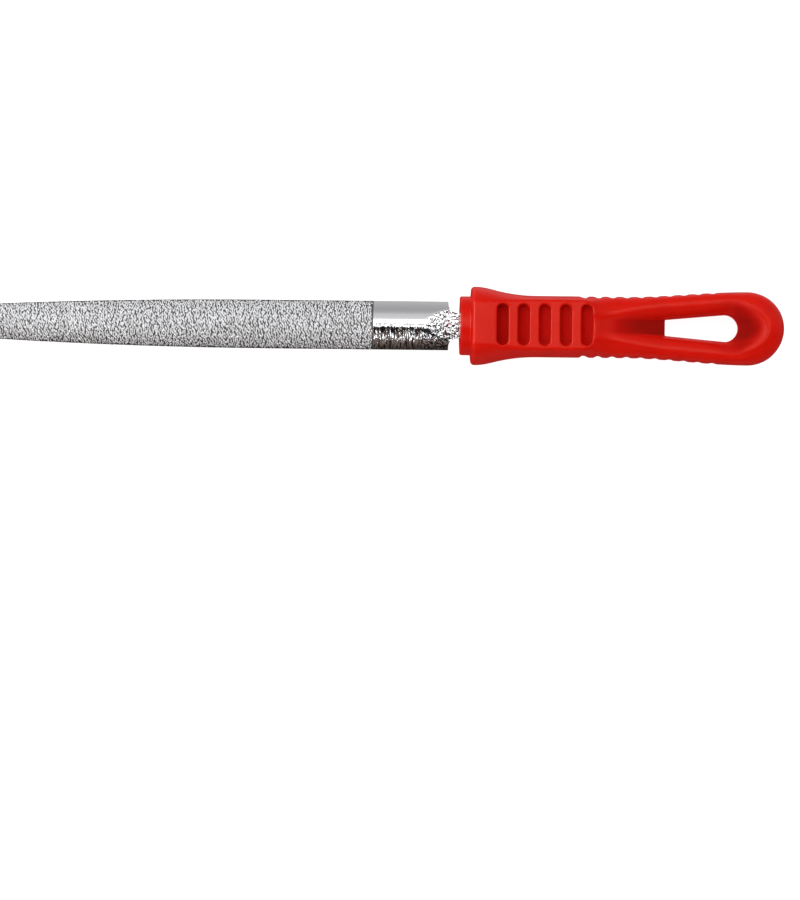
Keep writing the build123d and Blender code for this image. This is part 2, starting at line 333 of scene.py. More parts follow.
def grip_shape(s, u, y, z):
    """The flare, the grip and the round end of the loop: two flats joined by bulging sides."""
    loop_centre = s.total_length - s.loop_width / 2
    along = np.clip(u, s.collar_length, loop_centre)
    reach = np.hypot(np.maximum(u - loop_centre, 0), y)
    half = handle_half_width(s, along)
    top = handle_half_thickness(s, along)
    spread = half - handle_half_flat(s, along)
    bulge = (spread**2 + top**2) / (2 * spread)
    side = np.hypot(np.maximum(reach - half + bulge, 0), z) - bulge
    edge = ease(along, s.flat_edge, s.loop_edge, s.flat_fade_start, s.flat_fade_end)
    section = round_and(side, np.abs(z) - top, edge)
    return round_and(section, s.collar_length - u, s.flare_corner)


def collar_shape(s, u, y, z):
    """The oval nose that the tang goes into."""
    wall = np.hypot(2 * y / s.collar_width, 2 * z / s.collar_thickness) - 1
    nose = round_and(wall * s.collar_thickness / 2, -u, s.collar_fillet)
    return np.maximum(nose, u - 2 * s.collar_length)


def pocket_shape(s, u, across, above):
    """The nearest of the grip pockets: a round-ended slot with leaning walls."""
    nearest = np.clip(np.round((u - s.pocket_first) / s.pocket_pitch), 0, s.pockets - 1)
    middle = s.pocket_first + nearest * s.pocket_pitch
    straight = (s.pocket_length - s.pocket_width) / 2
    wall = np.hypot(u - middle, np.maximum(across - straight, 0)) - s.pocket_width / 2
    top = s.waist_thickness / 2
    lean = math.tan(s.pocket_draft)
    return round_and(wall + (top - above) * lean, top - s.pocket_depth - above, s.pocket_root)


def hole_shape(s, u, across):
    """Outline of the hanging hole in plan: a wedge that runs into its round end."""
    end = s.total_length - s.hole_end_wall
    start, centre = end - s.hole_length, end - s.hole_end_radius
    half, run = s.hole_start_width / 2, end - s.hole_end_radius - start
    lean = math.asin(s.hole_end_radius / math.hypot(run, half)) - math.atan2(half, run)
    touch = math.sqrt(run**2 + half**2 - s.hole_end_radius**2)
    along = (u - start) * math.cos(lean) + (across - half) * math.sin(lean)
    wall = (across - half) * math.cos(lean) - (u - start) * math.sin(lean)
    return np.where(along < touch, wall, np.hypot(u - centre, across) - s.hole_end_radius)


def scoop_shape(s, u, across, above):
    """The hollow in a broad side: a ramp down to the hole, leaning walls beside it and a bowl behind it."""
    end = s.total_length - s.hole_end_wall
    start, web = end - s.hole_length, s.web_thickness / 2
    slope = (s.waist_thickness / 2 - web) / s.scoop_length
    floor = web + slope * np.maximum(start - u, 0)
    ramp_half = s.scoop_width + (s.hole_start_width - s.scoop_width) * (1 - (start - u) / s.scoop_length)
    plan = np.where(u < start, across - ramp_half / 2, hole_shape(s, u, across))
    wall = (plan - np.maximum(above - floor, 0) * math.tan(s.scoop_draft)) * math.cos(s.scoop_draft)
    channel = round_and(wall, (floor - above) * math.cos(math.atan(slope)), s.scoop_root)
    axes = (s.hole_end_radius + s.bowl_reach, s.bowl_width / 2, s.bowl_height)
    offsets = (u - end + s.hole_end_radius, across, above - s.bowl_height - web)
    reach = np.sqrt(sum((d / a) ** 2 for d, a in zip(offsets, axes)))
    steepness = np.sqrt(sum((d / a**2) ** 2 for d, a in zip(offsets, axes)))
    bowl = reach * (reach - 1) / np.maximum(steepness, TINY)
    return channel, bowl


def notch_shape(s, u, across):
    """The nearest of the grip notches. The first is the deepest, and they soon fade."""
    number = np.clip(np.round((u - s.notch_first) / s.notch_pitch), 0, s.notches - 1)
    middle = s.notch_first + number * s.notch_pitch
    left = 1 - number / max(1, s.notches - 1)
    depth = s.notch_last_depth + (s.notch_depth - s.notch_last_depth) * left**3
    off = across - handle_half_width(s, middle) - s.notch_radius + depth
    return np.hypot(u - middle, off) - s.notch_radius


def socket_shape(blade, u, across, above):
    """The space in the handle that the tang is driven into, a little larger than the tang."""
    clear, corner, end_gap = 0.1 * MM, 0.3 * MM, 3.0 * MM
    reached = (u + blade.gap) / blade.tang_length
    half = blade.tang_width / 2 + (blade.tang_end_width - blade.tang_width) / 2 * reached
    top = blade.tang_thickness / 2 + (blade.tang_end_thickness - blade.tang_thickness) / 2 * reached
    wall = round_and(across - half - clear, above - top - clear, corner)
    return np.maximum(wall, u + blade.gap - blade.tang_length - end_gap)


def handle_distance(s, blade, u, y, z):
    """Distance from the moulding's surface, below 0 inside it."""
    across, above = np.abs(y), np.abs(z)
    body = round_or(grip_shape(s, u, y, z), collar_shape(s, u, y, z), s.collar_root)
    body = round_and(body, -notch_shape(s, u, across), s.notch_rim)
    least_sink = 0.1  # of the seam's height, so that the seam stays inside the CAD's box
    body = body + s.seam_height * (1 + least_sink - np.exp(-((z / s.seam_width) ** 2)))
    channel, bowl = scoop_shape(s, u, across, above)
    body = round_and(body, -pocket_shape(s, u, across, above), s.pocket_rim)
    front = s.total_length - s.hole_end_wall - s.hole_length
    body = round_and(body, -channel, ease(u, s.ramp_edge, s.arm_edge, front - s.scoop_length, front))
    body = round_and(body, -bowl, s.bowl_edge)
    body = round_and(body, -np.maximum(hole_shape(s, u, across), front - u), s.hole_edge)
    return np.maximum(body, -socket_shape(blade, u, across, above))


def surface_nets(distance, low, high, step):
    """Points and four-sided faces of the surface where distance is 0, one point in each cell it crosses."""
    axes = [np.arange(a, b + step, step) for a, b in zip(low, high)]
    value = distance(*np.meshgrid(*axes, indexing="ij"))
    cells = tuple(n - 1 for n in value.shape)
    total, count = np.zeros((*cells, 3)), np.zeros(cells)
    ends = {0: slice(None, -1), 1: slice(1, None)}
    for axis in range(3):
        others = [n for n in range(3) if n != axis]
        for shifts in itertools.product((0, 1), repeat=2):
            corner = {axis: 0, others[0]: shifts[0], others[1]: shifts[1]}
            near = value[tuple(ends[corner[n]] for n in range(3))]
            far = value[tuple(ends[{**corner, axis: 1}[n]] for n in range(3))]
            crossed = (near < 0) != (far < 0)
            where = np.where(crossed, near / np.where(crossed, near - far, 1), 0)
            total[..., axis] += where
            for other, shift in zip(others, shifts):
                total[..., other] += shift * crossed
            count += crossed
    crossed_cells = np.argwhere(count > 0)
    number = np.full(cells, -1)
    number[tuple(crossed_cells.T)] = np.arange(len(crossed_cells))
    places = total[tuple(crossed_cells.T)] / count[tuple(crossed_cells.T)][:, None]
    points = np.array([a[0] for a in axes]) + (crossed_cells + places) * step
    faces = []
    for axis in range(3):
        b, c = (axis + 1) % 3, (axis + 2) % 3
        near = np.take(value, range(value.shape[axis] - 1), axis) < 0
        far = np.take(value, range(1, value.shape[axis]), axis) < 0
        edges = np.argwhere(near != far)
        inner = (edges[:, [b, c]] > 0) & (edges[:, [b, c]] < (cells[b], cells[c]))
        edges = edges[inner.all(axis=1)]
        around = []
        for back_b, back_c in ((1, 1), (0, 1), (0, 0), (1, 0)):
            cell = edges.copy()
            cell[:, b] -= back_b
            cell[:, c] -= back_c
            around.append(number[tuple(cell.T)])
        quads = np.stack(around, 1)
        outwards = near[tuple(edges.T)]
        faces.append(np.where(outwards[:, None], quads, quads[:, ::-1]))
    return points, np.concatenate(faces)


def slope_at(distance, points, step):
    """How fast distance grows along each axis at each point, on a mesh with cells of that step."""
    probe = step / 20
    slope = np.empty_like(points)
    for axis in range(3):
        shift = np.zeros(3)
        shift[axis] = probe
        slope[:, axis] = (distance(*(points + shift).T) - distance(*(points - shift).T)) / (2 * probe)
    return slope


def settle(distance, points, faces, step, rounds=4):
    """Evens out the points and pulls them onto the surface where distance is 0."""
    pace, least_steepness = 0.5, 0.1
    ends = np.concatenate([faces[:, [n, (n + 1) % 4]] for n in range(4)])
    for _ in range(rounds):
        columns = [np.bincount(ends[:, 0], points[ends[:, 1], n], len(points)) for n in range(3)]
        spread = np.stack(columns, 1)
        neighbours = np.bincount(ends[:, 0], minlength=len(points))[:, None]
        pull = spread / np.maximum(neighbours, 1) - points
        slope = slope_at(distance, points, step)
        normal = slope / np.maximum(np.linalg.norm(slope, axis=1), TINY)[:, None]
        points = points + pace * (pull - normal * np.sum(pull * normal, axis=1)[:, None])
        slope = slope_at(distance, points, step)
        steepness = np.maximum(np.sum(slope * slope, axis=1), least_steepness)
        move = -slope * (distance(*points.T) / steepness)[:, None]
        reach = np.linalg.norm(move, axis=1)[:, None]
        points = points + move * np.minimum(1, pace * step / np.maximum(reach, TINY))
    return points


def blade_half_width(s, distance):
    """Half the blade's width that far from the shoulder, without the nose's rounding."""
    body = s.width_taper * share(distance, s.parallel, s.total_length) ** 2
    point = s.point_taper * share(distance, s.total_length - s.point_length, s.total_length) ** 2
    return s.width / 2 - body - point


def blade_crown(s, distance):
    """Height of the crown over the flat side, that far from the shoulder."""
    return s.thickness - s.thickness_taper * share(distance, s.parallel, s.total_length) ** 2


def crown_radius(s, distance):
    """Radius of the round side's arc, that far from the shoulder."""
    half, crown = blade_half_width(s, distance), blade_crown(s, distance)
    return (half**2 + crown**2) / (2 * crown)


def plan_half_width(s, distance):
    """Half the forging's width in plan, with the nose, the shoulder's fillets and the tang."""
    if distance > 0:
        left = max(s.nose_radius - (s.total_length - distance), 0.0)
        nose = math.sqrt(max(s.nose_radius**2 - left**2, 0.0))
        half = float(blade_half_width(s, distance))
        return min(half, nose) if left > 0 else half
    back = -distance
    if back < s.fillet:
        return s.tang_width / 2 + s.fillet - math.sqrt(s.fillet**2 - (s.fillet - back) ** 2)
    taper = (back - s.fillet) / (s.tang_length - s.fillet)
    return (s.tang_width + (s.tang_end_width - s.tang_width) * taper) / 2


def blade_rows(s):
    """Distances from the shoulder, from the point to the tang's end, at which the forging has a section."""
    # The rows crowd where the plan or the profile turns: at the nose, groove, cheek, shoulder and fillets.
    pitch, quarter = 1.5 * MM, math.pi / 2
    nose = s.total_length - s.nose_radius * (1 - np.cos(np.linspace(0.12, quarter, 14)))
    body = np.arange(s.total_length - s.nose_radius - pitch, s.cheek + 2 * MM, -pitch)
    cheek = np.linspace(s.cheek + pitch, 0.25 * MM, 34)
    shoulder = np.array([0.01 * MM, -0.01 * MM])
    fillet = -s.fillet * (1 - np.cos(np.linspace(0.2, quarter, 12)))
    tang = np.linspace(-s.fillet - 2 * MM, -s.tang_length, 26)
    groove = s.heel + s.groove_width * np.array([1.05, 1.0, 0.05, 0.0])
    return np.sort(np.concatenate([nose, body, groove, cheek, shoulder, fillet, tang]))[::-1]


# ---- making meshes ----


def new_piece(name, points, faces, material, slot, *nodes):
    """A piece of the object, as a smooth mesh that rides on the object's one body."""
    mesh = bpy.data.meshes.new(name)
    mesh.from_pydata(points, [], faces)
    mesh.validate()
    mesh.shade_smooth()
    mesh.materials.append(material)
    piece = bpy.data.objects.new(name, mesh)
    bpy.context.scene.collection.objects.link(piece)
    declare(piece, slot, *nodes)
    return piece


def declare(piece, slot, *nodes):
    """Sets a piece on the object's one body and hides the CAD nodes it stands for. The slot is not used."""
    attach(piece, BODY)
    if nodes:
        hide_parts(*nodes)


def node(tree, kind, inputs=None, **settings):
    """Adds a node with its settings and links. An input is a value, a socket or another node, which stands
    for its first output."""
    made = tree.nodes.new(kind)
    for name, value in settings.items():
        setattr(made, name, value)
    for key, value in (inputs or {}).items():
        source = value.outputs[0] if isinstance(value, bpy.types.Node) else value
        if isinstance(source, bpy.types.NodeSocket):
            tree.links.new(source, made.inputs[key])
        else:
            made.inputs[key].default_value = source
    return made


def new_material(name):
    """An empty material and its node tree."""
    material = bpy.data.materials.new(name)
    material.use_nodes = True
    material.node_tree.nodes.clear()
    return material, material.node_tree


def finish_material(tree, surface):
    """Sends a shader to the material's surface."""
    node(tree, "ShaderNodeOutputMaterial", {"Surface": surface})


# ---- materials ----


def moulded_polypropylene(red, painted_hollow_shade, core):
    """Injection-moulded polypropylene: satin, a little translucent, with the mould's fine spark-eroded
    grain, slow sink marks that bend its highlights, and a faint mottle where the melt flowed. Its hollows
    get painted shade: their red is painted darker the deeper they are, and their floors turn dull."""
    material, tree = new_material("moulded_red_polypropylene")
    place = node(tree, "ShaderNodeTexCoord").outputs["Object"]
    # The mould's real grain is finer. It is drawn as coarse as it needs to show.
    grain, sink, flow = (
        node(tree, "ShaderNodeTexNoise", {"Vector": place, "Scale": 1 / (size * MM), "Detail": detail})
        for size, detail in ((0.35, 2.0), (9, 2.0), (5, 4.0)))
    # Painted shade: the red is painted darker, and the floors turn dull, the deeper a hollow is.
    painted_shade_depth = node(tree, "ShaderNodeAttribute", attribute_name="painted_shade_depth").outputs["Fac"]
    deep = node(tree, "ShaderNodeMapRange", {
        "Value": painted_shade_depth, "From Min": 0.3 * MM, "From Max": 1.8 * MM}, interpolation_type="SMOOTHSTEP")
    deepest = node(tree, "ShaderNodeMapRange", {"Value": painted_shade_depth, "From Min": 1.5 * MM, "From Max": 4 * MM})
    hollow = node(tree, "ShaderNodeMix", {"Factor": deepest, 6: painted_hollow_shade, 7: core}, data_type="RGBA")
    tone = node(tree, "ShaderNodeMix", {"Factor": deep, 6: red, 7: hollow.outputs[2]}, data_type="RGBA")
    mottle = node(tree, "ShaderNodeMapRange", {"Value": flow, "To Min": 0.9, "To Max": 1.08})
    mottled = node(tree, "ShaderNodeHueSaturation", {"Color": tone.outputs[2], "Value": mottle})
    satin = node(tree, "ShaderNodeMapRange", {"Value": flow, "To Min": 0.26, "To Max": 0.34})
    rough = node(tree, "ShaderNodeMix", {"Factor": deep, 2: satin, 3: 1.0})
    sunk = node(tree, "ShaderNodeBump", {"Height": sink, "Strength": 1.0, "Distance": 0.08 * MM})
    grained = node(tree, "ShaderNodeBump", {
        "Height": grain, "Strength": 0.5, "Distance": 0.006 * MM, "Normal": sunk})
    finish_material(tree, node(tree, "ShaderNodeBsdfPrincipled", {
        "Base Color": mottled, "Roughness": rough, "Normal": grained, "IOR": 1.49,
        "Specular IOR Level": 0.15, "Specular Tint": linear("#FFCBB4"),
        "Subsurface Weight": 0.1, "Subsurface Radius": (1.0, 0.12, 0.06), "Subsurface Scale": 1.2 * MM}))
    return material


def forged_steel(steel, near_flank_painted_dark, gullet_painted_shade):
    """Drop-forged carbon steel, ground across its length on a worn belt: bright bands that break into
    streaks on the near side, which the belt left coarse and which carries a painted reflection of the dark
    room in dark brown streaks, and past the ground part the pitted skin of the forging. The roots of the
    teeth are dull, and painted dark for the shade between the teeth and for their oil."""
    material, tree = new_material("ground_forged_steel")
    place = node(tree, "ShaderNodeTexCoord").outputs["Object"]
    # Real grinding lines and pits are finer. They are drawn as coarse as they need to show.
    streak, scratch = (
        node(tree, "ShaderNodeTexNoise", {"Scale": 1.0, "Detail": detail, "Vector": node(
            tree, "ShaderNodeMapping", {
                "Vector": place, "Scale": (1 / (width * MM), 1 / (run * MM), 1 / (run * MM))})})
        for width, run, detail in ((1.0, 2.8, 2.0), (0.55, 5, 3.0)))
    pits, speck = (
        node(tree, "ShaderNodeTexNoise", {"Vector": place, "Scale": 1 / (size * MM), "Detail": detail})
        for size, detail in ((1.2, 1.5), (0.7, 1.0)))
    forged, cut = (
        node(tree, "ShaderNodeAttribute", attribute_name=name).outputs["Fac"] for name in ("forged", "cut"))
    edge = node(tree, "ShaderNodeMath", {0: forged, 1: pits}, operation="ADD")
    skin = node(tree, "ShaderNodeMapRange", {"Value": edge, "From Min": 0.75, "From Max": 1.05})
    bare = node(tree, "ShaderNodeMath", {0: 1.0, 1: skin}, operation="SUBTRACT")
    side = node(tree, "ShaderNodeSeparateXYZ", {0: place}).outputs["Y"]
    # The near side: ground coarser, and where the dark reflection of the room is painted.
    coarse_and_painted_dark_side = node(tree, "ShaderNodeMapRange", {
        "Value": side, "From Min": 0.9 * MM, "From Max": -1.1 * MM, "To Min": 0.05, "To Max": 1.0},
        interpolation_type="SMOOTHSTEP")
    relief = node(tree, "ShaderNodeMath", {0: streak, 1: coarse_and_painted_dark_side}, operation="MULTIPLY")
    ground = node(tree, "ShaderNodeBump", {"Height": relief, "Strength": 1.0, "Distance": 0.6 * MM})
    pitted = node(tree, "ShaderNodeBump", {"Height": pits, "Strength": 1.0, "Distance": 0.24 * MM})
    normal = node(tree, "ShaderNodeMix", {"Factor": skin, 4: ground, 5: pitted}, data_type="VECTOR")
    # Painted reflection: dark brown streaks on the near side's bare steel.
    lined = node(tree, "ShaderNodeMath", {0: scratch, 1: coarse_and_painted_dark_side}, operation="MULTIPLY")
    scale = node(tree, "ShaderNodeMapRange", {
        "Value": lined, "From Min": 0.46, "From Max": 0.57}, interpolation_type="SMOOTHSTEP")
    painted_dark = node(tree, "ShaderNodeMath", {0: scale, 1: bare}, operation="MULTIPLY")
    ground_tone = node(tree, "ShaderNodeMix", {"Factor": painted_dark, 6: steel, 7: near_flank_painted_dark}, data_type="RGBA")
    # More dark pits are painted on the near side, as part of its painted dark reflection.
    more = node(tree, "ShaderNodeMath", {0: coarse_and_painted_dark_side, 1: -0.09, 2: speck}, operation="MULTIPLY_ADD")
    dark = node(tree, "ShaderNodeMapRange", {"Value": more, "From Min": 0.47, "From Max": 0.37})
    pitted_dark = node(tree, "ShaderNodeMath", {0: dark, 1: skin}, operation="MULTIPLY")
    tone = node(tree, "ShaderNodeMix", {
        "Factor": pitted_dark, 6: ground_tone.outputs[2], 7: linear("#383534")}, data_type="RGBA")
    # Painted shade between the teeth, with their oil: the roots turn dark and dull.
    root = node(tree, "ShaderNodeMix", {"Factor": cut, 6: tone.outputs[2], 7: gullet_painted_shade}, data_type="RGBA")
    rough = node(tree, "ShaderNodeMix", {"Factor": cut, 2: 0.12, 3: 0.6})
    finish_material(tree, node(tree, "ShaderNodeBsdfPrincipled", {
        "Base Color": root.outputs[2], "Metallic": 1.0, "Roughness": rough, "Normal": normal.outputs[1]}))
    return material


def cut_steel(dull, bright):
    """Hardened carbon steel, chisel-cut and scoured: each facet is matt, and no two are quite alike."""
    material, tree = new_material("chisel_cut_hardened_steel")
    place = node(tree, "ShaderNodeTexCoord").outputs["Object"]
    # Real scouring is finer. It is drawn as coarse as it needs to show.
    scour, patch = (
        node(tree, "ShaderNodeTexNoise", {"Vector": place, "Scale": 1 / (size * MM), "Detail": detail})
        for size, detail in ((0.3, 3.0), (7, 2.0)))
    tone = node(tree, "ShaderNodeMix", {"Factor": patch, 6: dull, 7: bright}, data_type="RGBA")
    rough = node(tree, "ShaderNodeMapRange", {"Value": patch, "To Min": 0.44, "To Max": 0.54})
    scoured = node(tree, "ShaderNodeBump", {"Height": scour, "Strength": 0.8, "Distance": 0.03 * MM})
    finish_material(tree, node(tree, "ShaderNodeBsdfPrincipled", {
        "Base Color": tone.outputs[2], "Metallic": 0.8, "Roughness": rough, "Normal": scoured}))
    return material


def studio_paper():
    """Matt white background paper, lit from behind so that it stays clean."""
    material, tree = new_material("white_studio_paper")
    place = node(tree, "ShaderNodeTexCoord").outputs["Object"]
    # Coarser than real paper's tooth, so that it shows.
    tooth = node(tree, "ShaderNodeTexNoise", {"Vector": place, "Scale": 1 / (1.5 * MM)})
    relief = node(tree, "ShaderNodeBump", {"Height": tooth, "Strength": 0.1, "Distance": 0.02 * MM})
    finish_material(tree, node(tree, "ShaderNodeBsdfPrincipled", {
        "Base Color": linear("#909090"), "Roughness": 0.9, "Normal": relief,
        "Emission Color": linear("#FFFFFF"), "Emission Strength": 0.93}))
    return material


# ---- teeth ----


def tooth_tree(material):
    """Sets a leaning six-sided tooth on every seat, facing the way of the seat's facing attribute."""
    tree = bpy.data.node_groups.new("chisel_cut_teeth", "GeometryNodeTree")
    tree.interface.new_socket("Teeth", in_out="OUTPUT", socket_type="NodeSocketGeometry")
    tree.interface.new_socket("Seats", in_out="INPUT", socket_type="NodeSocketGeometry")
    for name in ("Length", "Width", "Height", "Unevenness", "Tilt", "Turn", "Lean"):
        tree.interface.new_socket(name, in_out="INPUT", socket_type="NodeSocketFloat")
    tree.interface.new_socket("Seed", in_out="INPUT", socket_type="NodeSocketInt")
    given = node(tree, "NodeGroupInput").outputs
    crest = 0.3  # of the root's width
    tooth = node(tree, "GeometryNodeMeshCone", {
        "Vertices": 6, "Radius Top": crest, "Radius Bottom": 1.0, "Depth": 1.0}, fill_type="NGON")
    spot = node(tree, "ShaderNodeSeparateXYZ", {0: node(tree, "GeometryNodeInputPosition")})
    slide = node(tree, "ShaderNodeMath", {0: spot.outputs["Z"], 1: given["Lean"]}, operation="MULTIPLY")
    shift = node(tree, "ShaderNodeCombineXYZ", {"X": slide})
    leaning = node(tree, "GeometryNodeSetPosition", {"Geometry": tooth, "Offset": shift})
    size = node(tree, "ShaderNodeCombineXYZ", {0: given["Length"], 1: given["Width"], 2: given["Height"]})
    turned = node(tree, "ShaderNodeCombineXYZ", {"Z": given["Turn"]})
    sized = node(tree, "GeometryNodeTransform", {"Geometry": leaning, "Scale": size, "Rotation": turned})
    facing = node(tree, "GeometryNodeInputNamedAttribute", {"Name": "facing"}, data_type="FLOAT_VECTOR")
    upright = node(tree, "FunctionNodeAxesToRotation", {
        "Primary Axis": facing, "Secondary Axis": (1.0, 0.0, 0.0)}, primary_axis="Z", secondary_axis="X")
    least = node(tree, "ShaderNodeMath", {0: 0.0, 1: given["Tilt"]}, operation="SUBTRACT")
    lean = node(tree, "FunctionNodeRandomValue", {
        "Min": least, "Max": given["Tilt"], "Seed": given["Seed"]}, data_type="FLOAT_VECTOR")
    leaned = node(tree, "FunctionNodeRotateRotation", {
        "Rotation": upright, "Rotate By": node(tree, "FunctionNodeEulerToRotation", {0: lean})},
        rotation_space="LOCAL")
    low = node(tree, "ShaderNodeMath", {0: 1.0, 1: given["Unevenness"]}, operation="SUBTRACT")
    next_seed = node(tree, "FunctionNodeIntegerMath", {0: given["Seed"], 1: 1}, operation="ADD")
    tall = node(tree, "FunctionNodeRandomValue", {2: low, 3: 1.0, "Seed": next_seed}, data_type="FLOAT")
    scale = node(tree, "ShaderNodeCombineXYZ", {0: 1.0, 1: 1.0, 2: tall.outputs[1]})
    placed = node(tree, "GeometryNodeInstanceOnPoints", {
        "Points": given["Seats"], "Instance": sized, "Rotation": leaned, "Scale": scale})
    real = node(tree, "GeometryNodeRealizeInstances", {"Geometry": placed})
    made = node(tree, "GeometryNodeSetMaterial", {"Geometry": real, "Material": material})
    node(tree, "NodeGroupOutput", {"Teeth": made})
    return tree


def lattice(t, along, across, shift):
    """Crossings of the two cuts over a strip, as distances along and across the blade."""
    turn = t.overcut + t.upcut
    over = np.array([math.cos(t.overcut), math.sin(t.overcut)]) * t.upcut_pitch / math.sin(turn)
    up = np.array([math.cos(t.upcut), -math.sin(t.upcut)]) * t.overcut_pitch / math.sin(turn)
    corners = np.array([[a, c] for a in along for c in across]) @ np.linalg.inv(np.array([over, up]))
    low, high = np.floor(corners.min(0)) - 1, np.ceil(corners.max(0)) + 1
    grid = np.meshgrid(*[np.arange(a, b + 1) for a, b in zip(low, high)], indexing="ij")
    places = (np.stack(grid, -1).reshape(-1, 2) + shift) @ np.array([over, up])
    inside = (places[:, 0] > along[0]) & (places[:, 0] < along[1])
    return places[inside & (places[:, 1] > across[0]) & (places[:, 1] < across[1])]


def strip_of_seats(blade, t, random, across):
    """The crossings over a strip of the blade, each strayed a little from its place."""
    along = (blade.heel + 2 * t.margin, blade.total_length - t.tip_margin)
    places = lattice(t, along, across, random.uniform(0, 1, 2))
    return places + random.uniform(-1, 1, places.shape) * t.wander * t.upcut_pitch


def reach_across(blade, t, distance):
    """How far from the blade's axis there may be teeth, at each distance from the shoulder."""
    return np.array([plan_half_width(blade, d) for d in distance]) - t.margin


def round_side_seats(blade, t, random):
    """Seats and facings of the teeth round the crown, which the chisel cuts in strips."""
    strips = int(math.ceil(blade.width / t.strip))
    places = np.concatenate([
        strip_of_seats(blade, t, random, (n * t.strip, (n + 1) * t.strip)) for n in range(-strips, strips)])
    distance, arc = places.T
    radius = crown_radius(blade, distance)
    turn = arc / radius
    across = radius * np.sin(turn)
    over = blade_crown(blade, distance) - radius * (1 - np.cos(turn))
    kept = np.abs(across) < reach_across(blade, t, distance)
    kept = kept & (np.abs(turn) < math.pi / 2) & (over > t.margin / 2)
    fall = -2 * blade.thickness_taper * np.maximum(distance - blade.parallel, 0)
    fall = fall / (blade.total_length - blade.parallel) ** 2
    facing = np.stack([fall, np.sin(turn), np.cos(turn)], 1)[kept]
    return distance[kept], across[kept], over[kept], facing


def flat_side_seats(blade, t, random):
    """Seats and facings of the teeth on the flat side."""
    distance, across = strip_of_seats(blade, t, random, (-blade.width / 2, blade.width / 2)).T
    kept = np.abs(across) < reach_across(blade, t, distance)
    down = np.tile((0.0, 0.0, -1.0), (kept.sum(), 1))
    return distance[kept], across[kept], np.zeros(kept.sum()), down


def plant_teeth(name, seats, blade, t, material):
    """Teeth on the given seats, as one plain mesh."""
    shoulder_x, flat_z = shoulder_place(blade)
    distance, across, over, facing = seats
    points = np.stack([shoulder_x - distance, across, flat_z + over], 1) - facing * t.root
    mesh = bpy.data.meshes.new(name)
    mesh.from_pydata(points.tolist(), [], [])
    ways = mesh.attributes.new("facing", "FLOAT_VECTOR", "POINT")
    ways.data.foreach_set("vector", facing.astype(np.float32).ravel())
    teeth = bpy.data.objects.new(name, mesh)
    bpy.context.scene.collection.objects.link(teeth)
    tree = tooth_tree(material)
    modifier = teeth.modifiers.new("Teeth", "NODES")
    modifier.node_group = tree
    values = {
        "Length": t.stroke / 2, "Width": t.reach / 2, "Height": t.height,
        "Unevenness": t.uneven, "Tilt": t.tilt, "Turn": t.turn, "Lean": t.lean, "Seed": t.seed}
    for item in tree.interface.items_tree:
        if item.name in values:
            modifier[item.identifier] = values[item.name]
    evaluated = teeth.evaluated_get(bpy.context.evaluated_depsgraph_get())
    grown = bpy.data.meshes.new_from_object(evaluated)
    teeth.modifiers.clear()
    teeth.data = grown
    declare(teeth, "file_steel")
    return teeth


# ---- the pieces ----


def shoulder_place(blade):
    """Where the shoulder is along the file, and how high the flat side lies."""
    return BLADE_BOX[0].x + blade.total_length, BLADE_BOX[0].z + blade.cut_rise


def painted_shade_depth_at(s, points, slope):
    """How much painted shade each point of the moulding gets: its depth in a hollow, weighted by how it
    faces, which paints the plastic's colour darker there.
    """
    u, y, z = points.T
    facing = np.abs(slope[:, 2]) / np.maximum(np.linalg.norm(slope, axis=1), TINY)
    in_pocket = np.clip(1 - pocket_shape(s, u, np.abs(y), np.abs(z)) / s.pocket_rim, 0.0, 1.0)
    hole_end = s.total_length - s.hole_end_wall
    floor_half = s.hole_start_width / 2
    before_bowl = share(u, hole_end, hole_end - 2 * s.hole_end_radius)
    beside = share(np.abs(y), floor_half, floor_half + s.arm_blend) * before_bowl
    # Floors get more painted shade than walls do, most of all before the bowl.
    weight = facing ** (2 + 3 * before_bowl) * (1 + (s.arm_painted_shade - 1) * beside)
    weight = weight * (1 - in_pocket) + s.pocket_painted_shade * in_pocket
    return np.maximum(-grip_shape(s, u, y, z), 0.0) * weight


def make_handle(s, blade):
    """The moulding, with its flare, pockets, notches, scoops, hanging hole and parting line."""
    front = Vector((HANDLE_BOX[0].x, 0, (HANDLE_BOX[0].z + HANDLE_BOX[1].z) / 2))

    def distance(u, y, z):
        return handle_distance(s, blade, u, y, z)

    # The margin, in cells, keeps the cells' corners off the handle's two middle planes.
    step, margin = s.mesh_step, 1.5
    side = (math.ceil(s.flare_width / 2 / step) + margin) * step
    top = (math.ceil(s.flare_thickness / 2 / step) + margin) * step
    low, high = (-margin * step, -side, -top), (s.total_length + margin * step, side, top)
    points, faces = surface_nets(distance, low, high, step)
    points = settle(distance, points, faces, step)
    # Painted shade: how far the plastic's colour is painted darker at each point of the hollows.
    painted_shade_depth = painted_shade_depth_at(s, points, slope_at(distance, points, step))
    points = points + np.array(front)
    material = moulded_polypropylene(tuple(s.red), tuple(s.painted_hollow_shade), tuple(s.core))
    handle = new_piece(
        "handle_moulding", points.tolist(), faces.tolist(), material, "red_plastic", "handle")
    depth = handle.data.attributes.new("painted_shade_depth", "FLOAT", "POINT")
    depth.data.foreach_set("value", painted_shade_depth.astype(np.float32))
    return handle


